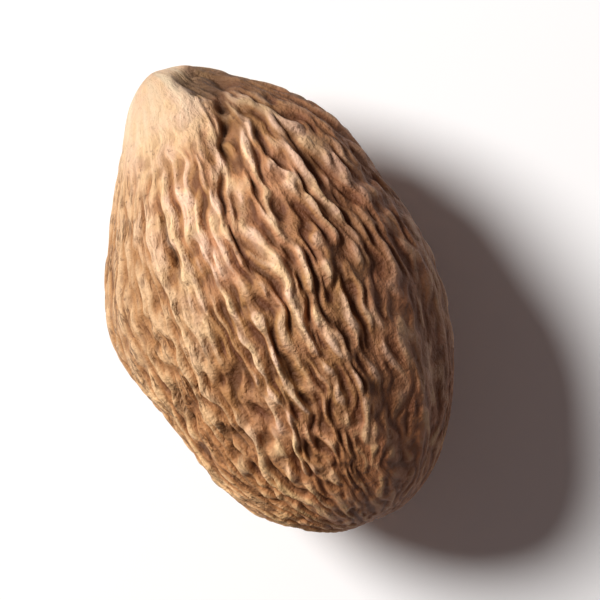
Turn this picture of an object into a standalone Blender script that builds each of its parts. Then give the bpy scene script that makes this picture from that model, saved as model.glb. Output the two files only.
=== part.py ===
"""A whole nutmeg, the dried seed of the nutmeg tree, lying on its side. It is one solid.

Metres, with +Z up. +Y runs along the seed towards its nub, the pale end where it grew on the fruit.
The seed rests on z = 0, and the origin is under the middle of its box.
A place on the seed is given by two numbers. Its station runs from 1 at the nub's tip, through 0 at
half length, to -1 at the blunt end. Its azimuth is the angle round the long axis, from 0 on top,
through a quarter turn on the +X side.
"""

import math
import random

import bmesh
import bpy
from mathutils import Matrix, Vector

# Driving dimensions
LENGTH = 0.0302
WIDTH = 0.0199
HEIGHT = 0.0194
REST_FLAT_DEPTH = 0.0004

# How the round outline narrows towards the nub and stays full at the blunt end
NUB_TAPER = 0.33
NUB_TAPER_POWER = 1.5
NUB_BULGE = 0.07
NUB_BULGE_STATION = 0.93
NUB_BULGE_SPREAD = 0.07
BLUNT_FULLNESS = 0.075
NUB_LEAN = 0.0008
BLUNT_LEAN = 0.0005

# The long folds that the skin dried into. Jitter and sway are shares of the spacing between folds,
# and strength is a share of the depth.
FOLD_COUNT = 26
FOLD_DEPTH = 0.00052
FOLD_HALF_WIDTH = 0.00070
FOLD_JITTER = 0.28
FOLD_SWAY = (0.25, 0.65)
FOLD_HALF_WAVES = (1.2, 2.6)
FOLD_STRENGTH = (0.45, 1.0)
FOLD_SEED = 11
LEFT_FOLD_SHARE = 0.5
NUB_FOLD_END = (0.78, 0.95)
BLUNT_FOLD_SHARE = 0.6
BLUNT_FOLD_END = (0.75, 0.95)

# The smooth oval round the flat that the seed lies on: its half width, half length and faded rim
REST_OVAL = (0.0034, 0.0052)
REST_FADE = 1.5

# The mesh
MERIDIANS = 116
PARALLELS = 40

SKIN_COLOUR = (0.40, 0.225, 0.105, 1.0)
SKIN_ROUGHNESS = 0.62

QUARTER = math.pi / 2

# Broad swellings (+) and hollows (-) of the body: station, azimuth, spread and height, in metres
SWELLINGS = {
    "left_shoulder": (0.10, -QUARTER, 0.0042, 0.00042),
    "left_hollow": (-0.38, -QUARTER, 0.0042, -0.00070),
    "right_flank": (-0.20, QUARTER, 0.0065, 0.00040),
    "right_shoulder": (0.59, QUARTER, 0.0050, 0.00124),
    "top_hollow": (0.38, 0.35, 0.0034, -0.00030),
    "blunt_knuckle": (-0.86, 0.5, 0.0030, 0.00025),
    "low_left_swelling": (0.25, -2.2, 0.0040, 0.00030),
    "low_right_hollow": (-0.35, 2.1, 0.0036, -0.00030),
}

# The nub is a low dome to the left of the tip. A pit lies at its foot, and a furrow runs down from it.
NUB_PLACE = (-0.0012, 0.0007)
NUB_SPREAD = 0.0020
NUB_HEIGHT = 0.00048
PIT_PLACE = (0.0017, 0.0012)
PIT_SPREAD = 0.00075
PIT_DEPTH = 0.00060
FURROW_STATIONS = (0.92, 0.50)
FURROW_AZIMUTHS = (0.52, 0.04)
FURROW_HALF_WIDTH = 0.00060
FURROW_DEPTH = 0.00058
FURROW_FADE = (0.15, 0.30)

# The small dimple in the middle of the blunt end
DIMPLE_PLACE = (0.0006, 0.0002)
DIMPLE_SPREAD = 0.0011
DIMPLE_DEPTH = 0.00035

# The stations between which the spots at an end grow from nothing to their full depth
END_REACH = (0.35, 0.75)


def clear_scene():
    for obj in list(bpy.data.objects):
        bpy.data.objects.remove(obj)


def bell(distance, spread):
    """1 at no distance, falling smoothly to nothing a few spreads away."""
    return math.exp(-((distance / spread) ** 2))


def smooth_step(low, high, value):
    share = min(1.0, max(0.0, (value - low) / (high - low)))
    return share * share * (3 - 2 * share)


def short_way(angle):
    """The same angle, between minus and plus half a turn."""
    return (angle + math.pi) % math.tau - math.pi


def girth_share(station):
    """The body's half width at a station, as a share of its largest."""
    round_end = math.sqrt(max(0.0, 1 - station * station))
    nub_side = NUB_TAPER * max(station, 0.0) ** NUB_TAPER_POWER
    blunt_side = BLUNT_FULLNESS * min(station, 0.0) ** 2
    bulge = NUB_BULGE * bell(station - NUB_BULGE_STATION, NUB_BULGE_SPREAD)
    return round_end * (1 - nub_side + blunt_side + bulge)


def lean(station):
    """How far the body's middle is carried sideways: the nub to -X and the blunt end to +X."""
    return BLUNT_LEAN * min(station, 0.0) ** 2 - NUB_LEAN * max(station, 0.0) ** 4


def body_point(station, azimuth):
    """A place on the smooth body, before swellings and folds."""
    share = girth_share(station)
    return Vector((
        lean(station) + WIDTH / 2 * share * math.sin(azimuth),
        LENGTH / 2 * station,
        HEIGHT / 2 * share * math.cos(azimuth),
    ))


def swelling_height(point):
    """The sum of the broad swellings and hollows near a place."""
    return sum(
        height * bell((point - body_point(station, azimuth)).length, spread)
        for station, azimuth, spread, height in SWELLINGS.values()
    )


def fold_lines():
    """Each long fold's azimuth, how far it sways, the rate and phase of its sway, and its strength."""
    chance = random.Random(FOLD_SEED)
    spacing = math.tau / FOLD_COUNT
    return [
        (
            spacing * (number + chance.uniform(-FOLD_JITTER, FOLD_JITTER)),
            spacing * chance.uniform(*FOLD_SWAY),
            QUARTER * chance.uniform(*FOLD_HALF_WAVES),
            chance.uniform(0, math.tau),
            chance.uniform(*FOLD_STRENGTH),
        )
        for number in range(FOLD_COUNT)
    ]


def crest_height(lines, station, azimuth):
    """1 on the crest of a strong fold and 0 between folds. Crests that meet blend into one."""
    girth = (WIDTH + HEIGHT) / 4 * girth_share(station)
    hollow = 1.0
    for place, sway, rate, phase, strength in lines:
        middle = place + sway * math.sin(rate * station + phase)
        hollow *= 1 - strength * bell(short_way(azimuth - middle) * girth, FOLD_HALF_WIDTH)
    return 1 - hollow


def fold_depth(point, station, azimuth):
    """How deep the folds are at a place: shallow on the left, at the ends and round the flat."""
    left_side = (0.5 - 0.5 * math.sin(azimuth)) ** 2
    depth = FOLD_DEPTH * (1 - (1 - LEFT_FOLD_SHARE) * left_side)
    depth *= 1 - smooth_step(*NUB_FOLD_END, station)
    depth *= 1 - (1 - BLUNT_FOLD_SHARE) * smooth_step(*BLUNT_FOLD_END, -station)
    if point.z < 0:
        half_width, half_length = REST_OVAL
        depth *= smooth_step(1.0, REST_FADE, math.hypot(point.x / half_width, point.y / half_length))
    return depth


def end_spot(end, point, place, spread):
    """A round spot at one end, 1 for the nub's and -1 for the blunt one: 1 in its middle, which is
    a place across the long axis, and 0 far from it."""
    across = math.hypot(point.x - place[0], point.z - place[1])
    return bell(across, spread) * smooth_step(*END_REACH, end * point.y / (LENGTH / 2))


def furrow_depth(station, azimuth):
    """The furrow that runs down from the pit, and fades in and out at its ends."""
    start, end = FURROW_STATIONS
    fade_in, fade_out = FURROW_FADE
    share = min(1.0, max(0.0, (start - station) / (start - end)))
    middle = FURROW_AZIMUTHS[0] + (FURROW_AZIMUTHS[1] - FURROW_AZIMUTHS[0]) * share
    aside = short_way(azimuth - middle) * WIDTH / 2 * girth_share(station)
    along = smooth_step(start + fade_in, start, station) * smooth_step(end - fade_out, end, station)
    return FURROW_DEPTH * bell(aside, FURROW_HALF_WIDTH) * along


def end_features(point, station, azimuth):
    """The nub's dome, less the deeper of its pit and furrow, and less the blunt end's dimple."""
    dome = NUB_HEIGHT * end_spot(1, point, NUB_PLACE, NUB_SPREAD)
    pit = PIT_DEPTH * end_spot(1, point, PIT_PLACE, PIT_SPREAD)
    dimple = DIMPLE_DEPTH * end_spot(-1, point, DIMPLE_PLACE, DIMPLE_SPREAD)
    return dome - max(pit, furrow_depth(station, azimuth)) - dimple


def spin_body(mesh):
    """Spins half the outline about the long axis, from the nub's tip to the blunt end."""
    stations = [math.cos(math.pi * row / (PARALLELS + 1)) for row in range(PARALLELS + 2)]
    outline = [
        mesh.verts.new((0, LENGTH / 2 * station, HEIGHT / 2 * girth_share(station)))
        for station in stations
    ]
    edges = [mesh.edges.new(pair) for pair in zip(outline, outline[1:])]
    bmesh.ops.spin(
        mesh, geom=outline + edges, cent=(0, 0, 0), axis=(0, 1, 0),
        angle=math.tau, steps=MERIDIANS, use_merge=True,
    )
    bmesh.ops.remove_doubles(mesh, verts=mesh.verts, dist=1e-6)


def shape_skin(mesh):
    """Moves each spun point to its place on the leaning, swollen and folded body."""
    lines = fold_lines()
    for vert in mesh.verts:
        station = max(-1.0, min(1.0, vert.co.y / (LENGTH / 2)))
        azimuth = math.atan2(vert.co.x, vert.co.z)
        point = body_point(station, azimuth)
        outward = Vector((
            math.sin(azimuth) * girth_share(station) / WIDTH,
            station / LENGTH,
            math.cos(azimuth) * girth_share(station) / HEIGHT,
        )).normalized()
        height = swelling_height(point) + end_features(point, station, azimuth)
        height += fold_depth(point, station, azimuth) * (crest_height(lines, station, azimuth) - 1)
        vert.co = point + height * outward


def cut_rest_flat(mesh):
    """Cuts the small flat that the seed lies on, and closes the cut with one face."""
    lowest = min(vert.co.z for vert in mesh.verts)
    cut = bmesh.ops.bisect_plane(
        mesh, geom=mesh.verts[:] + mesh.edges[:] + mesh.faces[:], dist=1e-7,
        plane_co=(0, 0, lowest + REST_FLAT_DEPTH), plane_no=(0, 0, -1), clear_outer=True,
    )
    rim = [item for item in cut["geom_cut"] if isinstance(item, bmesh.types.BMEdge)]
    bmesh.ops.contextual_create(mesh, geom=rim)


def stand_on_origin(mesh):
    """Moves the seed so that the origin is under the middle of its box, on the flat."""
    places = [[vert.co[axis] for vert in mesh.verts] for axis in range(3)]
    middle_x, middle_y = ((min(values) + max(values)) / 2 for values in places[:2])
    shift = Vector((-middle_x, -middle_y, -min(places[2])))
    bmesh.ops.transform(mesh, matrix=Matrix.Translation(shift), verts=mesh.verts)


def skin_material():
    material = bpy.data.materials.new("nutmeg_skin")
    material.use_nodes = True
    shader = material.node_tree.nodes["Principled BSDF"]
    shader.inputs["Base Color"].default_value = SKIN_COLOUR
    shader.inputs["Roughness"].default_value = SKIN_ROUGHNESS
    shader.inputs["Metallic"].default_value = 0.0
    return material


def make_nutmeg():
    mesh = bmesh.new()
    spin_body(mesh)
    shape_skin(mesh)
    cut_rest_flat(mesh)
    stand_on_origin(mesh)
    bmesh.ops.recalc_face_normals(mesh, faces=mesh.faces)
    data = bpy.data.meshes.new("nutmeg")
    mesh.to_mesh(data)
    mesh.free()
    data.shade_smooth()
    data.set_sharp_from_angle(angle=math.radians(50))
    data.materials.append(skin_material())
    nutmeg = bpy.data.objects.new("nutmeg", data)
    bpy.context.scene.collection.objects.link(nutmeg)
    return nutmeg


clear_scene()
make_nutmeg()
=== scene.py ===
# %% [markdown]
# # A whole nutmeg
# A nutmeg is the seed of a tree, sold dried. As the kernel dries it shrinks, and the skin on it
# buckles into long wrinkles that run from the blunt end to a pale, smooth nub. The solid model gives
# the egg shape, the nub and the small flat that the seed rests on. This script lays a finer skin over
# that solid, grows the wrinkles in it, colours it, and sets it on a pale floor under one soft lamp.
#
# Everything is in the solid's own frame, in metres: +Z is up, and +Y runs along the seed to its nub.

# %% Load the frame
import math

import bpy
import numpy as np
from mathutils import Euler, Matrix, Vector


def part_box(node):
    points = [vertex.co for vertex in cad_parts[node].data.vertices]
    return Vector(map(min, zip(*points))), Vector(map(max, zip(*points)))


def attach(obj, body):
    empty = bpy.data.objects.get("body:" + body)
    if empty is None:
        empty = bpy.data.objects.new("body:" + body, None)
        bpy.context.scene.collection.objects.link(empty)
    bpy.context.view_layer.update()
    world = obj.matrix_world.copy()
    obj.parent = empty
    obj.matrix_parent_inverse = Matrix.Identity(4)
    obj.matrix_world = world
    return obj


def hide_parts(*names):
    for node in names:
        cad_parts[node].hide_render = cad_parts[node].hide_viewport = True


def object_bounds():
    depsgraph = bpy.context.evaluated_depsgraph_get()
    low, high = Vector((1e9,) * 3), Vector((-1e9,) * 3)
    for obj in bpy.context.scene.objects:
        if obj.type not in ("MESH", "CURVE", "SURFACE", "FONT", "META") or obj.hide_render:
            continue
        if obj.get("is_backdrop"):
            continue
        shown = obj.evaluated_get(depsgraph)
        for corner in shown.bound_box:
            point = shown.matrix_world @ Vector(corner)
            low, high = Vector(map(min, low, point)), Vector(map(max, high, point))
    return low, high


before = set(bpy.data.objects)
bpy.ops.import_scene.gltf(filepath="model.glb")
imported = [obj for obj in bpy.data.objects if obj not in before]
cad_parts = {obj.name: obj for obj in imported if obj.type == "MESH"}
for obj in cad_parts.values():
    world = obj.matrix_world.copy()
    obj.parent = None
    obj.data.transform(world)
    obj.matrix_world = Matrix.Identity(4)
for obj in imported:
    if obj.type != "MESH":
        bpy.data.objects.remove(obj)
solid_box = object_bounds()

MM = 1000
low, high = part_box("nutmeg")
MIDDLE = (low + high) / 2
HALF = (high - low) / 2
print("solid, in mm:", [round(2 * MM * size, 1) for size in HALF])

# %% [markdown]
# ## Node trees written as sums
# The skin, the carving and the colours are all node trees, and most of their nodes are plain sums. A
# long row of calls that add nodes and links is hard to read, so a small class wraps a socket and lets
# Python's own signs do it: `1 - crest * depth` adds the Math nodes and joins them up. Every other
# node comes from one method, which takes the node's type, its settings and its sockets.

# %% A socket that works in a sum
class Wire:
    """A socket that gives a number. A sum on it adds the Math nodes for that sum."""

    def __init__(self, sheet, socket):
        self.sheet = sheet
        self.socket = socket

    def maths(self, operation, *numbers):
        return self.sheet.node("ShaderNodeMath", {"operation": operation}, dict(enumerate(numbers)))

    def __add__(self, other):
        return self.maths("ADD", self, other)

    def __radd__(self, other):
        return self.maths("ADD", other, self)

    def __sub__(self, other):
        return self.maths("SUBTRACT", self, other)

    def __rsub__(self, other):
        return self.maths("SUBTRACT", other, self)

    def __mul__(self, other):
        return self.maths("MULTIPLY", self, other)

    def __rmul__(self, other):
        return self.maths("MULTIPLY", other, self)

    def __truediv__(self, other):
        return self.maths("DIVIDE", self, other)

    def __rtruediv__(self, other):
        return self.maths("DIVIDE", other, self)

    def __pow__(self, other):
        return self.maths("POWER", self, other)

    def __abs__(self):
        return self.maths("ABSOLUTE", self)

    def most(self, other):
        return self.maths("MAXIMUM", self, other)

    def least(self, other):
        return self.maths("MINIMUM", self, other)


# %% A node tree that is being drawn up
class Sheet:
    """A node tree, with one method that adds any node and gives one of its outputs as a Wire."""

    def __init__(self, tree):
        self.tree = tree

    def node(self, kind, settings=None, sockets=None, output=0):
        made = self.tree.nodes.new(kind)
        for name, value in (settings or {}).items():
            setattr(made, name, value)
        for name, value in (sockets or {}).items():
            if isinstance(value, Wire):
                self.tree.links.new(value.socket, made.inputs[name])
            else:
                made.inputs[name].default_value = value
        return Wire(self, made.outputs[output])

    def vector(self, operation, *vectors, scale=None, output=0):
        sockets = dict(enumerate(vectors))
        if scale is not None:
            sockets["Scale"] = scale
        return self.node("ShaderNodeVectorMath", {"operation": operation}, sockets, output)

    def split(self, vector):
        """The three numbers of a vector."""
        parts = self.node("ShaderNodeSeparateXYZ", None, {0: vector}).socket.node.outputs
        return [Wire(self, part) for part in parts]

    def join(self, x, y, z):
        return self.node("ShaderNodeCombineXYZ", None, {0: x, 1: y, 2: z})

    def ramp(self, value, start, end):
        """0 where the value is start, 1 where it is end, and smooth between them."""
        sockets = {0: value, 1: start, 2: end}
        return self.node("ShaderNodeMapRange", {"interpolation_type": "SMOOTHSTEP"}, sockets)

    def finish(self, geometry, material):
        """Ends a Geometry Nodes tree with real meshes only, in one material."""
        real = self.node("GeometryNodeRealizeInstances", None, {"Geometry": geometry})
        painted = self.node("GeometryNodeSetMaterial", None, {"Geometry": real, "Material": material})
        self.tree.links.new(painted.socket, self.tree.nodes.new("NodeGroupOutput").inputs[0])


# %% A Geometry Nodes tree with named inputs
def new_tree(name, inputs):
    """A tree with these inputs besides its geometry: the tree, its sheet, and its inputs by name."""
    tree = bpy.data.node_groups.new(name, "GeometryNodeTree")
    tree.interface.new_socket("Geometry", in_out="OUTPUT", socket_type="NodeSocketGeometry")
    tree.interface.new_socket("Geometry", in_out="INPUT", socket_type="NodeSocketGeometry")
    for label, kind in inputs.items():
        tree.interface.new_socket(label, in_out="INPUT", socket_type="NodeSocket" + kind)
    sheet = Sheet(tree)
    entry = tree.nodes.new("NodeGroupInput")
    given = {socket.name: Wire(sheet, socket) for socket in entry.outputs if socket.name}
    return tree, sheet, given


def put_on(piece, tree, values):
    """Puts a tree on a piece as a modifier, with its inputs set by their identifiers."""
    modifier = piece.modifiers.new(tree.name, "NODES")
    modifier.node_group = tree
    for item in tree.interface.items_tree:
        if item.name in values:
            modifier[item.identifier] = values[item.name]


def make_plain(piece):
    """Uses up a piece's modifiers, so that it is left with a plain mesh under the piece's name."""
    mesh = bpy.data.meshes.new_from_object(piece.evaluated_get(bpy.context.evaluated_depsgraph_get()))
    piece.modifiers.clear()
    piece.data = mesh
    mesh.name = piece.name
    return mesh


# %% [markdown]
# ## Camera
# The nutmeg lies on a table and is looked at from straight above, as a spice is laid out to be seen.
# The camera is turned about the plumb line so that the nub leans to the upper left. A short lens
# close by would swell the top of the seed, so a long lens is used from farther off.

# %% Camera
LEAN = math.radians(22.3)
CAMERA_HEIGHT = 0.42
CAMERA_ASIDE = (0.0018, -0.0004, 0)
CLIP_START = 0.01
LENS = 406


def add_camera():
    data = bpy.data.cameras.new("camera")
    data.lens = LENS
    data.clip_start = CLIP_START
    camera = bpy.data.objects.new("camera", data)
    camera.rotation_euler = Euler((0, 0, -LEAN))
    aside = camera.rotation_euler.to_matrix() @ Vector(CAMERA_ASIDE)
    camera.location = Vector((MIDDLE.x, MIDDLE.y, CAMERA_HEIGHT)) + aside
    bpy.context.scene.collection.objects.link(camera)
    bpy.context.scene.camera = camera
    return camera


camera = add_camera()
print("camera at", [round(MM * place) for place in camera.location], "mm")

# %% [markdown]
# ## A fine skin over the solid
# The solid's facets are about a millimetre long, and the finest wrinkles are half a millimetre wide,
# so the solid can't carry them. A ball of small squares is laid over it. An ordinary ball with poles
# would crowd its faces at two points, so this one starts as a cube whose sides are cut into a grid.
# Each point flies outward from the middle until it meets the solid. Blurring the points' places a
# little then takes the facets away and leaves the seed's larger folds.

# %% A tree that lays a ball of squares on a solid
def skin_tree():
    inputs = {
        "Solid": "Object",
        "Middle": "Vector",
        "Half size": "Vector",
        "Points round": "Int",
        "Points along": "Int",
        "Smoothing": "Int",
        "Material": "Material",
    }
    tree, sheet, given = new_tree("skin over a solid", inputs)
    cube = sheet.node("GeometryNodeMeshCube", None, {
        "Size": (2, 2, 2),
        "Vertices X": given["Points round"],
        "Vertices Y": given["Points along"],
        "Vertices Z": given["Points round"],
    })
    place = sheet.node("GeometryNodeInputPosition")
    even = sheet.vector("TANGENT", sheet.vector("SCALE", place, scale=math.pi / 4))
    outward = sheet.vector("MULTIPLY", sheet.vector("NORMALIZE", even), given["Half size"])
    solid = sheet.node("GeometryNodeObjectInfo", None, {"Object": given["Solid"]}, "Geometry")
    met = sheet.node("GeometryNodeRaycast", None, {
        "Target Geometry": solid,
        "Source Position": given["Middle"],
        "Ray Direction": outward,
        "Ray Length": 1.0,
    }, "Hit Position")
    laid = sheet.node("GeometryNodeSetPosition", None, {"Geometry": cube, "Position": met})
    blurred = sheet.node("GeometryNodeBlurAttribute", {"data_type": "FLOAT_VECTOR"}, {
        "Value": place,
        "Iterations": given["Smoothing"],
    })
    smooth = sheet.node("GeometryNodeSetPosition", None, {"Geometry": laid, "Position": blurred})
    sheet.finish(smooth, given["Material"])
    return tree


# %% Lay the skin
POINTS_ROUND = 140
POINTS_ALONG = 104
SMOOTHING = 24

material = bpy.data.materials.new("nutmeg_skin")
skin = bpy.data.objects.new("nutmeg_skin", bpy.data.meshes.new("nutmeg_skin"))
bpy.context.scene.collection.objects.link(skin)
put_on(skin, skin_tree(), {
    "Solid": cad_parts["nutmeg"],
    "Middle": tuple(MIDDLE),
    "Half size": tuple(HALF),
    "Points round": POINTS_ROUND,
    "Points along": POINTS_ALONG,
    "Smoothing": SMOOTHING,
    "Material": material,
})
mesh = make_plain(skin)
print("ball:", len(mesh.vertices), "points")

# %% [markdown]
# ## A map of the skin
# The wrinkles are grown on a flat map of the skin, as a grid of numbers is quick to work on. A row
# of the map is one ring round the seed, and a column is one line from the blunt end to the nub. Two
# measures tie the map to the seed: the station, from -1 at the blunt end to 1 at the nub, and the
# turn round the seed's middle line, which is 0 on top and a quarter turn on the +X side.
#
# The seed is not quite round or straight, so the middle line and the girth are not taken from a
# formula. They are smooth curves that follow the points of the ball.

# %% Where each point is on the seed
CURVE_DEGREE = 6
LEAST_SHARE = 0.01

points = np.empty(3 * len(mesh.vertices))
mesh.vertices.foreach_get("co", points)
points = MM * (points.reshape(-1, 3) - np.array(MIDDLE))
station = points[:, 1] / np.abs(points[:, 1]).max()


def smooth_fit(values):
    """A curve over the station that follows a measure of all the points."""
    return np.polynomial.Polynomial.fit(station, values, CURVE_DEGREE)


from_line_x = points[:, 0] - smooth_fit(points[:, 0])(station)
from_line_z = points[:, 2] - smooth_fit(points[:, 2])(station)
girth = np.hypot(from_line_x, from_line_z)
turn = np.arctan2(from_line_x, from_line_z)
roundness = smooth_fit(girth ** 2 / np.maximum(1 - station ** 2, LEAST_SHARE))
print("widest, from the middle line:", round(girth.max(), 1), "mm")

# %% The rows and columns of the map
ROWS = 380
COLUMNS = 900
OUTLINE_STEPS = 500
LEAST_GIRTH = 0.01


def ease(values, start, end):
    """0 up to the start, 1 from the end, and smooth between them."""
    share = np.clip((values - start) / (end - start), 0, 1)
    return share * share * (3 - 2 * share)


outline_stations = -np.cos(np.linspace(0, math.pi, OUTLINE_STEPS))
outline_squares = roundness(outline_stations) * (1 - outline_stations ** 2)
outline_girths = np.sqrt(np.maximum(outline_squares, LEAST_GIRTH ** 2))
outline_steps = np.hypot(np.diff(outline_stations) * MM * HALF.y, np.diff(outline_girths))
outline_arcs = np.concatenate([[0.0], np.cumsum(outline_steps)])
ROW_HEIGHT = outline_arcs[-1] / ROWS
row_arcs = (np.arange(ROWS) + 0.5) * ROW_HEIGHT
row_stations = np.interp(row_arcs, outline_arcs, outline_stations)[:, None]
row_girths = np.interp(row_arcs, outline_arcs, outline_girths)[:, None]
column_turns = (np.arange(COLUMNS) * math.tau / COLUMNS - math.pi)[None, :]
print("map:", ROWS, "rows of", round(ROW_HEIGHT, 3), "mm, and", COLUMNS, "columns")

# %% Spreading a value over the map
AVERAGES = 3


def spread_along(field, reach):
    """Spreads each column of the map along the seed, by a reach in mm. Moving averages, one after
    another, come near to a bell curve."""
    middle = np.arange(ROWS) + 0.5
    half = np.broadcast_to(reach, (ROWS, 1))[:, 0] / ROW_HEIGHT
    start = np.clip(middle - half, 0, ROWS)
    end = np.clip(middle + half, 0, ROWS)

    def sum_to(sums, place):
        row = np.minimum(place.astype(int), ROWS - 1)
        share = (place - row)[:, None]
        return sums[row] * (1 - share) + sums[row + 1] * share

    for average in range(AVERAGES):
        sums = np.concatenate([np.zeros((1, COLUMNS)), np.cumsum(field, axis=0)])
        field = (sum_to(sums, end) - sum_to(sums, start)) / (end - start)[:, None]
    return field


def spread_round(field, reach):
    """Spreads each row of the map round the seed, by a reach in mm, as a bell curve. A row is a ring,
    so it is taken apart into waves, and the short waves are made weaker."""
    waves = np.fft.rfft(field, axis=1)
    order = np.arange(waves.shape[1])
    return np.fft.irfft(waves * np.exp(-0.5 * (order * reach / row_girths) ** 2), COLUMNS, axis=1)


def rough(seed, size, stretch=1.0):
    """Random hills of a size in mm, with a spread of 1, stretched along the seed."""
    hills = np.random.default_rng(seed).normal(0, 1, (ROWS, COLUMNS)) / np.sqrt(row_girths)
    hills = spread_along(spread_round(hills, size), size * stretch)
    return hills / hills[ROWS // 4:-ROWS // 4].std()


# %% [markdown]
# ## How the wrinkles grow
# Ridges drawn one by one, or taken from a ready pattern, come out as regular as a machined part. Here
# they grow by the rule that makes stripes on a shell: each place rises when its near neighbours are
# high, and sinks when places farther off are high. From random hills, a few rounds of that rule give
# ridges that are evenly spaced, that wander, fork and stop, and that are never the same twice. The
# neighbours are counted farther along the seed than round it, so the ridges run lengthwise.
#
# Close to the blunt end the stretch is small, and there the same rule gives a net of short folds, as
# on the seed. A few marked lines are added as the wrinkles grow: they say where the seed has its long
# ridges and its deepest hollows, and the rest fits itself in between. The furrow beside the nub and
# three narrow slits are marked in the same way, but they don't grow: they are cut with the carving.

# %% The rule
NEAR = 0.176
FAR = 0.215
FIRST_HILLS = NEAR * 1.2
FIRST_STRETCH = 3.0


def grow_wrinkles(spacing, stretch, sway, drive, seed, rounds, gain):
    """A map of wrinkles, from -1 in the hollows to 1 on the ridges, with a spacing in mm. The stretch
    says how much longer than wide they are, and the sway how much of that the farther neighbours
    share. Drive says where ridges are wanted, and gain how sharply hollows and ridges part."""
    height = rough(seed, FIRST_HILLS, FIRST_STRETCH)
    for step in range(rounds):
        near = spread_along(spread_round(height, NEAR * spacing), NEAR * spacing * stretch)
        far = spread_along(spread_round(near, FAR * spacing), FAR * spacing * (1 + (stretch - 1) * sway))
        height = np.tanh(gain * (near - far) + drive)
    return height


# %% Marked ridges and hollows
CROWDING = 0.18
STROKE_TAPER = 0.04


def crowd(turns):
    """Where a turn round the seed falls on the map. The -X side takes more of the map, so that its
    wrinkles come out finer."""
    return turns + CROWDING * np.cos(turns)


def stroke(start, end, width, taper=STROKE_TAPER):
    """1 along a line on the skin between two places, and fading past its half width in mm and its
    ends. A place is a station and a turn, and the start is the one nearer to the nub."""
    (high, high_turn), (low, low_turn) = start, end
    line = crowd(np.interp(row_stations, (low, high), (low_turn, high_turn)))
    aside = row_girths * ((column_turns - line + math.pi) % math.tau - math.pi)
    ends = ease(row_stations, low - taper, low) * ease(row_stations, high + STROKE_TAPER, high)
    return ends * np.exp(-(aside / width) ** 2)


def strokes(lines):
    return sum(stroke(*line) for line in lines)


LONG_RIDGES = [
    ((0.66, 0.00), (0.34, 0.13), 0.28),
    ((0.50, 0.50), (0.10, 0.55), 0.25),
    ((0.55, 0.70), (-0.45, 0.65), 0.25),
    ((0.40, -0.30), (-0.30, -0.28), 0.25),
    ((0.25, 0.15), (-0.25, 0.12), 0.25),
    ((-0.05, -0.15), (-0.35, -0.12), 0.25),
    ((-0.35, 0.15), (-0.60, 0.15), 0.25),
    ((0.80, 0.60), (0.52, 0.24), 0.32),
    ((0.75, 0.70), (0.20, 1.10), 0.45),
]
LONG_HOLLOWS = [
    ((0.58, 0.14), (0.40, 0.27), 0.26),
    ((0.70, 0.56), (0.50, 0.50), 0.35),
    ((-0.30, -0.75), (-0.55, -0.62), 0.26),
    ((-0.20, -0.52), (-0.42, -0.44), 0.24),
    ((0.30, -0.37), (0.00, -0.32), 0.22),
    ((0.55, 0.80), (0.20, 0.80), 0.45),
    ((0.35, 0.42), (0.20, 0.40), 0.40),
    ((-0.10, 0.40), (-0.50, 0.40), 0.40),
]
FURROW = [
    ((0.90, 0.50), (0.76, 0.30), 0.32),
    ((0.76, 0.30), (0.62, 0.10), 0.28, 0.10),
]
SLITS = [
    ((0.43, -0.59), (0.23, -0.55), 0.17, 0.08),
    ((-0.19, -0.98), (-0.34, -1.00), 0.13, 0.06),
    ((-0.43, -0.77), (-0.55, -0.80), 0.13, 0.06),
]
FURROW_SHARE = 0.75
SLIT_SHARE = 0.9
marks = strokes(LONG_RIDGES) - strokes(LONG_HOLLOWS)
furrow = FURROW_SHARE * strokes(FURROW) + SLIT_SHARE * strokes(SLITS)
print("marked:", len(LONG_RIDGES), "ridges and", len(LONG_HOLLOWS), "hollows")
print("to be cut:", len(SLITS), "slits and a furrow")

# %% How long the wrinkles are
BLUNT_STATIONS = (0.42, 0.92)
CLOSER_AT_BLUNT_END = 0.26

to_blunt = ease(-row_stations, *BLUNT_STATIONS)
closer = 1 - CLOSER_AT_BLUNT_END * to_blunt
print("rows in the net at the blunt end:", int((to_blunt > 0.5).sum()))


def stretch_over(seed_body, blunt_end):
    """How much farther the neighbours are counted along the seed than round it, in each row."""
    return seed_body * (1 - to_blunt) + blunt_end * to_blunt


# %% Three sizes of wrinkle
MAJOR_SPACING = 1.45
COARSE_SPACING = 0.82
FINE_SPACING = 0.56
MARKS_ON_MAJOR = 1.3
MARKS_ON_COARSE = 0.6
MAJOR_ON_COARSE = 0.25

major_stretch = stretch_over(6.2, 1.8)
coarse_stretch = stretch_over(5.2, 1.1)
fine_stretch = stretch_over(3.94, 1.07)

unrest = 0.22 * rough(21, size=0.3, stretch=1.8) + 0.30 * rough(23, size=0.8, stretch=2.5)
drive = 0.05 + MARKS_ON_MAJOR * marks + unrest
spacing = MAJOR_SPACING * closer
major = grow_wrinkles(spacing, major_stretch, sway=0.66, drive=drive, seed=5, rounds=8, gain=5.5)

unrest = 0.28 * rough(24, size=0.20, stretch=2.0) + 0.22 * rough(25, size=0.6, stretch=2.5)
drive = 0.1 - 0.2 * to_blunt + MAJOR_ON_COARSE * major + MARKS_ON_COARSE * marks + unrest
spacing = COARSE_SPACING * closer
coarse = grow_wrinkles(spacing, coarse_stretch, sway=0.68, drive=drive, seed=6, rounds=8, gain=5.5)

drive = 0.05 + 0.3 * rough(22, size=0.2, stretch=1.6)
spacing = FINE_SPACING * closer
fine = grow_wrinkles(spacing, fine_stretch, sway=0.75, drive=drive, seed=8, rounds=7, gain=6.0)
for name, field in (("major", major), ("coarse", coarse), ("fine", fine)):
    print(name, "wrinkles: ridges on", round(100 * float((field > 0).mean())), "% of the map")

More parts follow.
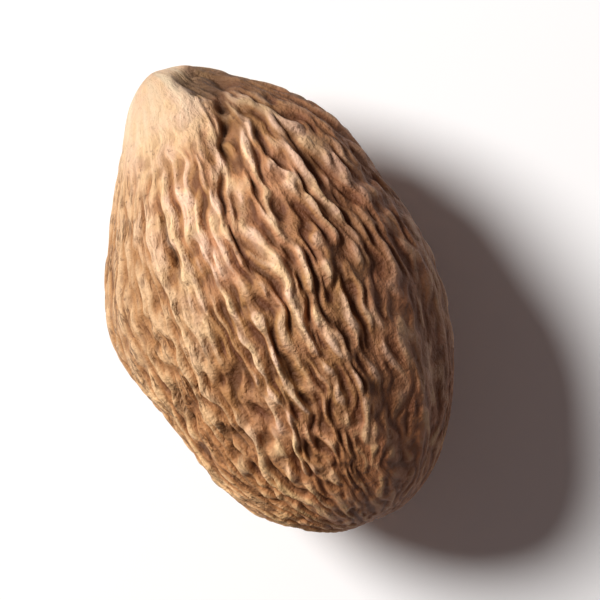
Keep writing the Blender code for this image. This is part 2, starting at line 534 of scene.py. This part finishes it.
# %% [markdown]
# ## From the map to the skin
# Every point of the ball now looks up the map at its own station and turn. The turn slips a little
# from place to place, so that whole bundles of ridges bend together. The heights also get their
# cross-section here: raising a share of 0 to 1 to a power above 1 leaves thin crests with broad
# hollows between them, as on the seed's right side, and a power below 1 gives broad, worn tops with
# thin slits, as on its left.
#
# The results are stored on the points as attributes, because both the carving and the material can
# read an attribute by its name.

# %% Read the map at every point
def read_map(field, turns):
    """The map's value at each point, from its four nearest places on the map."""
    row = np.clip(np.interp(station, outline_stations, outline_arcs) / ROW_HEIGHT - 0.5, 0, ROWS - 1.001)
    column = (turns + math.pi) % math.tau * COLUMNS / math.tau
    low_row = row.astype(int)
    low_column = column.astype(int) % COLUMNS
    next_column = (low_column + 1) % COLUMNS
    up = row - low_row
    across = column % 1.0
    low_side = field[low_row, low_column] * (1 - across) + field[low_row, next_column] * across
    high_side = field[low_row + 1, low_column] * (1 - across) + field[low_row + 1, next_column] * across
    return low_side * (1 - up) + high_side * up


LONG_SLIP = 0.24
SHORT_SLIP = 0.10
LEAST_SLIP_GIRTH = 2.0
slip = LONG_SLIP * read_map(rough(31, size=1.3), turn)
slip = slip + SHORT_SLIP * read_map(rough(32, size=0.42), turn)
slipped = crowd(turn) + slip / np.maximum(girth, LEAST_SLIP_GIRTH)
print("ridges slip sideways by up to", round(float(np.abs(slip).max()), 1), "mm")

# %% Shape the ridges
LEFT_SIDE = (0.0, 5.5)
LOWER_LEFT = (-3.0, 7.0)
LESS_AT_LOWER_LEFT = 0.6
MAJOR_SHARE = 0.48
KNOB_HEIGHT = 0.08
SWELL_HEIGHT = 0.14

lower_left = ease(-points[:, 1], *LOWER_LEFT)
on_left = ease(-points[:, 0], *LEFT_SIDE) * (1 - LESS_AT_LOWER_LEFT * lower_left)


def shaped(field, rounding, left_power, right_power):
    """A map's height at each point as 0 to 1, after a little rounding in mm."""
    power = right_power + (left_power - right_power) * on_left
    height = np.clip(read_map(spread_round(field, rounding), slipped), -1, 1)
    return (0.5 + 0.5 * height) ** power


knobs = KNOB_HEIGHT * read_map(rough(33, size=0.30, stretch=1.3), turn)
swell = SWELL_HEIGHT * read_map(rough(34, size=0.9, stretch=1.6), turn)
major_ridge = shaped(major, rounding=0.08, left_power=0.45, right_power=2.1)
coarse_ridge = shaped(coarse, rounding=0.05, left_power=0.5, right_power=1.9)
ridge = MAJOR_SHARE * major_ridge + (1 - MAJOR_SHARE) * coarse_ridge
ridge = ridge * (1 + knobs + swell)
fine_ridge = shaped(fine, rounding=0.04, left_power=0.5, right_power=1.2)
streaks = ease(read_map(rough(41, size=0.13, stretch=9.0), turn), -1.6, 1.6)
furrow_here = np.clip(read_map(furrow, crowd(turn)), 0, 1)
print("mean height of the ridges:", round(float(ridge.mean()), 2))

# %% Store the results on the points
TUBE_RADIUS = 9.0


def store_numbers(name, values):
    attribute = mesh.attributes.new(name, "FLOAT", "POINT")
    attribute.data.foreach_set("value", values.astype(np.float32))


store_numbers("ridge", ridge)
store_numbers("fine ridge", fine_ridge)
store_numbers("streaks", streaks)
store_numbers("furrow", furrow_here)

# The same places laid on a plain tube, in mm, so that a grain drawn there follows the ridges.
arc = np.interp(station, outline_stations, outline_arcs)
along = np.stack([TUBE_RADIUS * np.cos(slipped), arc, TUBE_RADIUS * np.sin(slipped)], axis=1)
attribute = mesh.attributes.new("along", "FLOAT_VECTOR", "POINT")
attribute.data.foreach_set("vector", along.astype(np.float32).ravel())
print("attributes of the skin:", [item.name for item in mesh.attributes if not item.is_internal])

# %% [markdown]
# ## Carving the skin
# The map says what the wrinkles look like, and the carving says how deep they are. Each point sinks
# along its normal, and only the tops of a few ridges rise a hair, so the skin stays within the solid's
# own size. The depth changes over the seed: the nub is nearly smooth, the left edge is worn flat, the
# lower left has the deepest hollows, and the flat underneath is left alone so that the seed still
# rests on it. Each of these parts is a ramp over the place on the seed, in mm from its middle, and a
# table says how much deeper or shallower the wrinkles are there. The hollow and the furrow beside the
# nub, and the slits, are sunk by a depth of their own.

# %% Parts of the seed
NUB_PLACE = (-1.5, 13.9, 1.0)
RECESS_PLACE = (1.5, 14.0, 2.2)
FLAT_HALF_WIDTH = 3.4
FLAT_HALF_LENGTH = 5.2
FLAT_FROM_MIDDLE = 1.2
NARROWER_AT_BLUNT_END = 0.42
CREAM_EDGE = 0.6
CREAM_STRAIGHT = (12.4, 13.8)
CREAM_TURNS = (0.42, 0.6)

DEPTH_CHANGE = {
    "upper left": -0.35,
    "lower left": 0.55,
    "left edge": -0.7,
    "under the nub": -0.42,
    "shade side of the nub": -0.4,
    "right edge": -0.3,
    "away from the lamp": -0.84,
    "blunt end": -0.35,
}


def parts_of_seed(sheet, local):
    """How far each point belongs to each part of the seed, from 0 to 1."""
    x, y, z = sheet.split(local)
    left = sheet.ramp(x, -2.0, -8.0)
    shade_side = sheet.ramp(x, 0.3, 2.0)
    from_nub = sheet.vector("DISTANCE", local, NUB_PLACE, output="Value")
    from_recess = sheet.vector("DISTANCE", local, RECESS_PLACE, output="Value")
    off_nub = sheet.ramp(from_nub, 3.0, 10.0) * (1 - shade_side)
    taper = 1 - NARROWER_AT_BLUNT_END * sheet.ramp(y, 0.0, -14.0)
    # The cream stops at a line beside the nub, which turns toward -X below and above a straight bit.
    cream_edge = CREAM_EDGE - CREAM_TURNS[0] * (CREAM_STRAIGHT[0] - y).most(0.0)
    cream_edge = cream_edge - CREAM_TURNS[1] * (y - CREAM_STRAIGHT[1]).most(0.0)
    flat_share = (x / FLAT_HALF_WIDTH) ** 2.0 + ((y + FLAT_FROM_MIDDLE) / FLAT_HALF_LENGTH) ** 2.0
    return {
        "left": left,
        "nub": sheet.ramp(from_nub, 7.5, 0.5) ** 1.5 * (1 - sheet.ramp(x - cream_edge, -0.3, 0.5)),
        "recess": sheet.ramp(from_recess, 2.4, 1.0),
        "off nub": off_nub + sheet.ramp(from_nub, 2.0, 4.0) * shade_side,
        "off nub tip": sheet.ramp(from_nub, 1.0, 3.2),
        "off flat": sheet.ramp(flat_share ** 0.5, 1.0, 1.7).most(sheet.ramp(z, -7.5, -4.0)),
        "upper left": left * sheet.ramp(y, -6.0, 6.0),
        "lower left": left * sheet.ramp(y, 4.5, -4.5),
        "left edge": sheet.ramp(x / taper, -7.0, -9.3) * sheet.ramp(x, 0.0, -3.0),
        "under the nub": sheet.ramp(y, 2.5, 7.0) * (1 - sheet.ramp(x, 1.0, 3.0)),
        "shade side of the nub": sheet.ramp(y, 5.0, 10.0) * sheet.ramp(x, 1.0, 3.5),
        "right edge": sheet.ramp(x, 4.5, 8.5),
        "away from the lamp": sheet.ramp(0.7 * x - 0.5 * y, 3.0, 8.5),
        "blunt end": sheet.ramp(y, -9.0, -14.0),
    }


# %% A tree that carves the wrinkles
FINE_SHARE = 0.34
FINE_SHARE_AT_BLUNT_END = 0.54
FINE_DEEPER_ON_LEFT = 0.4
NUB_CREST = 0.8


def wrinkle_tree():
    inputs = {
        "Middle": "Vector",
        "Long depth": "Float",
        "Fine depth": "Float",
        "Recess depth": "Float",
        "Recess roughness": "Float",
        "Material": "Material",
    }
    tree, sheet, given = new_tree("wrinkles", inputs)
    place = sheet.node("GeometryNodeInputPosition")
    local = sheet.vector("SCALE", sheet.vector("SUBTRACT", place, given["Middle"]), scale=MM)
    parts = parts_of_seed(sheet, local)

    def stored(name):
        return sheet.node("GeometryNodeInputNamedAttribute", None, {"Name": name})

    def store(shape, name, value):
        sockets = {"Geometry": shape, "Name": name, "Value": value}
        return sheet.node("GeometryNodeStoreNamedAttribute", None, sockets)

    strength = parts["off nub"] * parts["off flat"]
    for name, change in DEPTH_CHANGE.items():
        strength = strength * (1 + change * parts[name])

    fine = stored("fine ridge")
    fine_share = FINE_SHARE + (FINE_SHARE_AT_BLUNT_END - FINE_SHARE) * parts["blunt end"]
    crest = stored("ridge") * (1 - fine_share) + fine * fine_share
    recess = parts["recess"].most(stored("furrow"))
    sunk = given["Long depth"] * (1 - crest) * strength
    fine_depth = given["Fine depth"] * (1 + FINE_DEEPER_ON_LEFT * parts["left"])
    sunk = sunk + fine_depth * (1 - fine) * parts["off flat"] * parts["off nub tip"]
    sunk = sunk + (given["Recess depth"] + given["Recess roughness"] * (1 - fine)) * recess

    named = store(given["Geometry"], "sunk", sunk)
    named = store(named, "crest", NUB_CREST - (NUB_CREST - crest) * parts["off nub"])
    named = store(named, "recess", recess)
    named = store(named, "nub", parts["nub"] * (1 - recess))
    named = store(named, "left", parts["left"])
    # Painted shade: the part away from the lamp is stored for the material, which darkens it.
    named = store(named, "lee", parts["away from the lamp"])

    normal = sheet.node("GeometryNodeInputNormal")
    inward = sheet.vector("SCALE", normal, scale=stored("sunk") * (-1 / MM))
    carved = sheet.node("GeometryNodeSetPosition", None, {"Geometry": named, "Offset": inward})
    x, y, z = sheet.split(place)
    rested = sheet.node("GeometryNodeSetPosition", None, {
        "Geometry": carved,
        "Position": sheet.join(x, y, z.most(0.0)),
    })
    smooth = sheet.node("GeometryNodeSetShadeSmooth", None, {"Geometry": rested})
    sheet.finish(smooth, given["Material"])
    return tree


# %% Carve the skin
LONG_DEPTH = 0.66
FINE_DEPTH = 0.08
RECESS_DEPTH = 0.42
RECESS_ROUGHNESS = 0.34

put_on(skin, wrinkle_tree(), {
    "Middle": tuple(MIDDLE),
    "Long depth": LONG_DEPTH,
    "Fine depth": FINE_DEPTH,
    "Recess depth": RECESS_DEPTH,
    "Recess roughness": RECESS_ROUGHNESS,
    "Material": material,
})
mesh = make_plain(skin)
triangles = sum(len(face.vertices) - 2 for face in mesh.polygons)
print("skin:", len(mesh.vertices), "points,", triangles, "triangles")
depths = np.empty(len(mesh.vertices))
mesh.attributes["sunk"].data.foreach_get("value", depths)
print("sunk by", round(float(depths.min()), 2), "to", round(float(depths.max()), 2), "mm")

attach(skin, "root")
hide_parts("nutmeg")

# %% [markdown]
# ## The skin's colour
# The skin of a nutmeg is a warm brown. Its ridges are rubbed pale by handling, its hollows hold a dark
# red-brown, and the nub and the skin round it are almost cream. So the colour can be read from the
# same wrinkles that were carved: one step goes from the hollows to the flanks, and the next from the
# flanks to the tops. These steps are partly the skin's own colour and partly painted light: painted
# shade darkens the hollows and a painted highlight lightens the tops. Painted shade also darkens the
# right side away from the lamp, the slope beside the nub, and the recess, the furrow and the slits.
# Over that lie slow changes of hue, a lengthwise grain, and dark specks, because a dried skin is never
# one even tint.
#
# The surface is dull, with just enough gloss for the tops of the ridges to catch the light. What is
# finer than the skin's squares, the grain, the pores and the thinnest cracks, is in the colour and in
# a small bump.

# %% Tints of the skin
def rgb(red, green, blue):
    """A colour, from the numbers of 0 to 255 that a paint chart gives, as light."""
    def light(number):
        share = number / 255
        return share / 12.92 if share <= 0.04045 else ((share + 0.055) / 1.055) ** 2.4
    return (light(red), light(green), light(blue), 1.0)


# Tints by place. The hollow tints are partly painted shade and the top tints partly a painted highlight;
# the shade side, the slope beside the nub and the recess tints are painted shade.
TINT = {
    "top, rosy": rgb(250, 210, 180),
    "top, golden": rgb(246, 208, 160),
    "top, left": rgb(216, 178, 136),
    "top, lower left": rgb(248, 204, 150),
    "top, blunt end, rosy": rgb(242, 188, 134),
    "top, blunt end, golden": rgb(250, 206, 138),
    "flank, rosy": rgb(193, 137, 97),
    "flank, golden": rgb(180, 132, 80),
    "flank, left": rgb(175, 128, 81),
    "flank, lower left": rgb(190, 132, 82),
    "flank, blunt end": rgb(194, 127, 74),
    "hollow, rosy": rgb(98, 50, 24),
    "hollow, golden": rgb(94, 58, 26),
    "shade side": rgb(118, 70, 46),
    "painted_shade_by_nub": rgb(124, 94, 66),
    "grain": rgb(120, 80, 52),
    "speck": rgb(96, 62, 40),
    "slit": rgb(104, 64, 36),
    "slit, left": rgb(96, 58, 30),
    "cream, dark": rgb(205, 175, 142),
    "cream, light": rgb(217, 195, 164),
    "recess, deep": rgb(70, 44, 26),
    "recess, high": rgb(104, 72, 46),
}
# How far each tint covers what is under it, at most. The shade side, the slope by the nub and the recess
# lay painted shade.
COVER = {
    "top, blunt end": 0.75,
    "flank, blunt end": 0.6,
    "shade side": 0.7,
    "painted_shade_by_nub": 0.85,
    "grain": 0.35,
    "speck": 0.55,
    "slit": 0.4,
    "recess": 0.9,
}
print("tints:", len(TINT))


# %% Helpers for the material
class Paint(Sheet):
    """The node tree of a material."""

    def stored(self, name, output="Fac"):
        return self.node("ShaderNodeAttribute", {"attribute_name": name}, None, output)

    def mix(self, share, first, second):
        return self.node("ShaderNodeMix", {"data_type": "RGBA"}, {0: share, 6: first, 7: second}, 2)

    def noise(self, place, scale, detail, roughness=0.5):
        sockets = {"Vector": place, "Scale": scale, "Detail": detail, "Roughness": roughness}
        return self.node("ShaderNodeTexNoise", None, sockets)


# %% Patterns in the skin
def skin_patterns(paint, local):
    """The slow and the fine changes over the skin. The grain and the threads follow the ridges, as
    they are drawn on a vector that was stored from the map."""
    along = paint.stored("along", "Vector")
    threads = paint.noise(paint.vector("MULTIPLY", along, (1.0, 0.22, 1.0)), 2.0, 3.0, 0.6)
    broken = paint.ramp(paint.noise(local, 0.8, 2.0), 0.42, 0.6)
    return {
        "blotch": paint.ramp(paint.noise(local, 0.35, 3.0), 0.35, 0.65),
        "golden": paint.ramp(paint.noise(paint.vector("ADD", local, (7, 3, 1)), 0.55, 3.0), 0.38, 0.62),
        "cracks": paint.ramp(abs(threads - 0.5), 0.07, 0.0) * broken * (0.1 + 0.6 * paint.stored("left")),
        "fibre": paint.noise(paint.vector("MULTIPLY", along, (1.0, 0.35, 1.0)), 3.4, 3.0, 0.65),
        "pores": paint.noise(local, 2.6, 4.0, 0.6),
    }


# %% From the hollows to the tops, with painted shade and painted highlights
def wrinkle_colour(paint, local, golden, blotch):
    x, y = paint.split(local)[:2]
    crest, left = paint.stored("crest"), paint.stored("left")
    blunt_end = paint.ramp(y, -7.0, -13.0)
    end_top = paint.mix(golden, TINT["top, blunt end, rosy"], TINT["top, blunt end, golden"])
    top = paint.mix(golden, TINT["top, rosy"], TINT["top, golden"])
    top = paint.mix(left, top, TINT["top, left"])
    top = paint.mix(blunt_end * COVER["top, blunt end"], top, end_top)
    flank = paint.mix(blotch, TINT["flank, rosy"], TINT["flank, golden"])
    flank = paint.mix(left, flank, TINT["flank, left"])
    flank = paint.mix(blunt_end * COVER["flank, blunt end"], flank, TINT["flank, blunt end"])
    lower_left = left * paint.ramp(y, 4.5, -8.0)
    top = paint.mix(lower_left, top, TINT["top, lower left"])
    flank = paint.mix(lower_left, flank, TINT["flank, lower left"])
    # Hollows to flanks to tops: partly the skin's own colour, partly painted shade in the hollows and a
    # painted highlight on the tops.
    hollow = paint.mix(golden, TINT["hollow, rosy"], TINT["hollow, golden"])
    colour = paint.mix(paint.ramp(crest, 0.05, 0.45), hollow, flank)
    colour = paint.mix(paint.ramp(crest, 0.40, 0.95), colour, top)
    # Painted shade: the right side and the part away from the lamp are darkened toward the shade side
    # tint.
    shade_side = paint.ramp(x, 2.0, 8.0).most(paint.stored("lee"))
    colour = paint.mix(shade_side * COVER["shade side"], colour, TINT["shade side"])
    # Painted shade on the slope beside the nub that faces away from the lamp, a little lighter on its
    # ridges.
    painted_shade_by_nub = paint.ramp(x, 0.5, 2.0) * paint.ramp(y, 8.0, 13.5)
    painted_shade_by_nub = painted_shade_by_nub.most(paint.ramp(x, 0.0, 0.9) * paint.ramp(y, 13.0, 14.4))
    painted_shade_by_nub_tint = paint.mix(crest, TINT["hollow, golden"], TINT["painted_shade_by_nub"])
    return paint.mix(painted_shade_by_nub * COVER["painted_shade_by_nub"], colour, painted_shade_by_nub_tint)


# %% Grain, slits, nub, and painted shade in the recess
def weathered_colour_and_recess_shade(paint, colour, patterns):
    fine, left, nub = paint.stored("fine ridge"), paint.stored("left"), paint.stored("nub")
    streaks = paint.stored("streaks")
    grain = paint.ramp(patterns["fibre"], 0.3, 0.7)
    colour = paint.mix(COVER["grain"] * (1 - grain), colour, TINT["grain"])
    specks = paint.ramp(patterns["pores"], 0.42, 0.30)
    colour = paint.mix(specks * COVER["speck"], colour, TINT["speck"])
    slits = (paint.ramp(fine, 0.35, 0.05) * COVER["slit"]).most(patterns["cracks"])
    slit_tint = paint.mix(left, TINT["slit"], TINT["slit, left"])
    colour = paint.mix(slits * (1 - nub) ** 2.0, colour, slit_tint)
    cream = paint.mix(streaks, TINT["cream, dark"], TINT["cream, light"])
    cream_cover = nub * (0.5 + 0.7 * streaks + 0.25 * fine)
    colour = paint.mix(cream_cover.least(1.0), colour, cream)
    # Painted shade in the recess by the nub, the furrow and the three slits, where their walls would be
    # in shade.
    recess = paint.mix(grain * fine, TINT["recess, deep"], TINT["recess, high"])
    return paint.mix(paint.stored("recess") * COVER["recess"], colour, recess)


# %% Paint the skin
ROUGHNESS = 0.62
GLOSS = 0.35
BUMP_STRENGTH = 0.8
BUMP_HEIGHT = 0.25 / MM
FIBRE_RELIEF = 0.7
PORE_RELIEF = 1.1
CRACK_RELIEF = 0.6


def paint_skin(material):
    material.use_nodes = True
    paint = Paint(material.node_tree)
    shader = material.node_tree.nodes["Principled BSDF"]
    local = paint.vector("SCALE", paint.node("ShaderNodeTexCoord", None, None, "Object"), scale=MM)
    patterns = skin_patterns(paint, local)
    colour = wrinkle_colour(paint, local, patterns["golden"], patterns["blotch"])
    colour = weathered_colour_and_recess_shade(paint, colour, patterns)
    off_nub = 1 - paint.stored("nub")
    relief = patterns["fibre"] * FIBRE_RELIEF + patterns["pores"] * PORE_RELIEF
    relief = relief - CRACK_RELIEF * patterns["cracks"] * off_nub
    sockets = {"Height": relief, "Strength": BUMP_STRENGTH, "Distance": BUMP_HEIGHT}
    bump = paint.node("ShaderNodeBump", None, sockets)
    paint.tree.links.new(colour.socket, shader.inputs["Base Color"])
    paint.tree.links.new(bump.socket, shader.inputs["Normal"])
    shader.inputs["Roughness"].default_value = ROUGHNESS
    shader.inputs["Specular IOR Level"].default_value = GLOSS


paint_skin(material)
print("nodes in the skin's material:", len(material.node_tree.nodes))

# %% [markdown]
# ## Floor and light
# The floor is plain and nearly white, so the eye stays on the seed. One soft lamp stands to the upper
# left, low enough for its light to rake over the wrinkles: without that, even deep wrinkles look flat.
# The lamp's width sets how soft the edge of the shadow is. A weak, slightly rosy light from all round
# stands for a room's walls, and it keeps the shadow from going black.

# %% The floor
FLOOR_SIDE = 1.2
FLOOR_GAP = 0.00002
FLOOR_COLOUR = (0.94, 0.955, 0.975, 1)
FLOOR_ROUGHNESS = 0.9
FLOOR_GLOSS = 0.1


def add_floor():
    """A floor that lies a hair below the seed, so that the two never show through each other."""
    bpy.ops.mesh.primitive_plane_add(size=FLOOR_SIDE, location=(0, 0, -FLOOR_GAP))
    floor = bpy.context.object
    floor.name = "floor"
    coat = bpy.data.materials.new("floor_white")
    coat.use_nodes = True
    shader = coat.node_tree.nodes["Principled BSDF"]
    shader.inputs["Base Color"].default_value = FLOOR_COLOUR
    shader.inputs["Roughness"].default_value = FLOOR_ROUGHNESS
    shader.inputs["Specular IOR Level"].default_value = FLOOR_GLOSS
    floor.data.materials.append(coat)
    return floor


floor = add_floor()
floor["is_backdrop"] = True
print("floor:", FLOOR_SIDE, "m wide")

# %% The lamp and the room
LAMP_AZIMUTH = 156
LAMP_ELEVATION = 44.5
LAMP_DISTANCE = 0.8
LAMP_WIDTH = 0.32
LAMP_WATTS = 9.5
LAMP_COLOUR = (1.0, 0.97, 0.94)
ROOM_COLOUR = (1.0, 0.77, 0.73, 1)
ROOM_STRENGTH = 0.105


def add_lamp():
    """A round lamp that points at the nutmeg. Azimuth 0 is the right of the picture, and it grows
    anticlockwise."""
    data = bpy.data.lights.new("lamp", "AREA")
    data.shape = "DISK"
    data.size = LAMP_WIDTH
    data.energy = LAMP_WATTS
    data.color = LAMP_COLOUR
    lamp = bpy.data.objects.new("lamp", data)
    turned = math.radians(LAMP_AZIMUTH) - LEAN
    raised = math.radians(LAMP_ELEVATION)
    level = math.cos(raised)
    outward = Vector((math.cos(turned) * level, math.sin(turned) * level, math.sin(raised)))
    lamp.location = MIDDLE + LAMP_DISTANCE * outward
    lamp.rotation_euler = outward.to_track_quat("Z", "Y").to_euler()
    bpy.context.scene.collection.objects.link(lamp)
    return lamp


def add_room():
    world = bpy.data.worlds.new("room")
    world.use_nodes = True
    world.node_tree.nodes["Background"].inputs["Color"].default_value = ROOM_COLOUR
    world.node_tree.nodes["Background"].inputs["Strength"].default_value = ROOM_STRENGTH
    bpy.context.scene.world = world


lamp = add_lamp()
add_room()
bpy.context.scene.view_settings.view_transform = "Standard"
print("lamp at", [round(MM * place) for place in lamp.location], "mm")

# %% [markdown]
# ## Sizes
# The skin replaces the solid, so it has to have the solid's size. Both boxes are kept, the solid's and
# the finished model's, and the two are compared here.

# %% Compare the sizes, and finish
model_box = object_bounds()
gaps = [MM * (solid - model) for pair in zip(solid_box, model_box) for solid, model in zip(*pair)]
print("the model's box differs from the solid's by at most", round(max(map(abs, gaps)), 2), "mm")
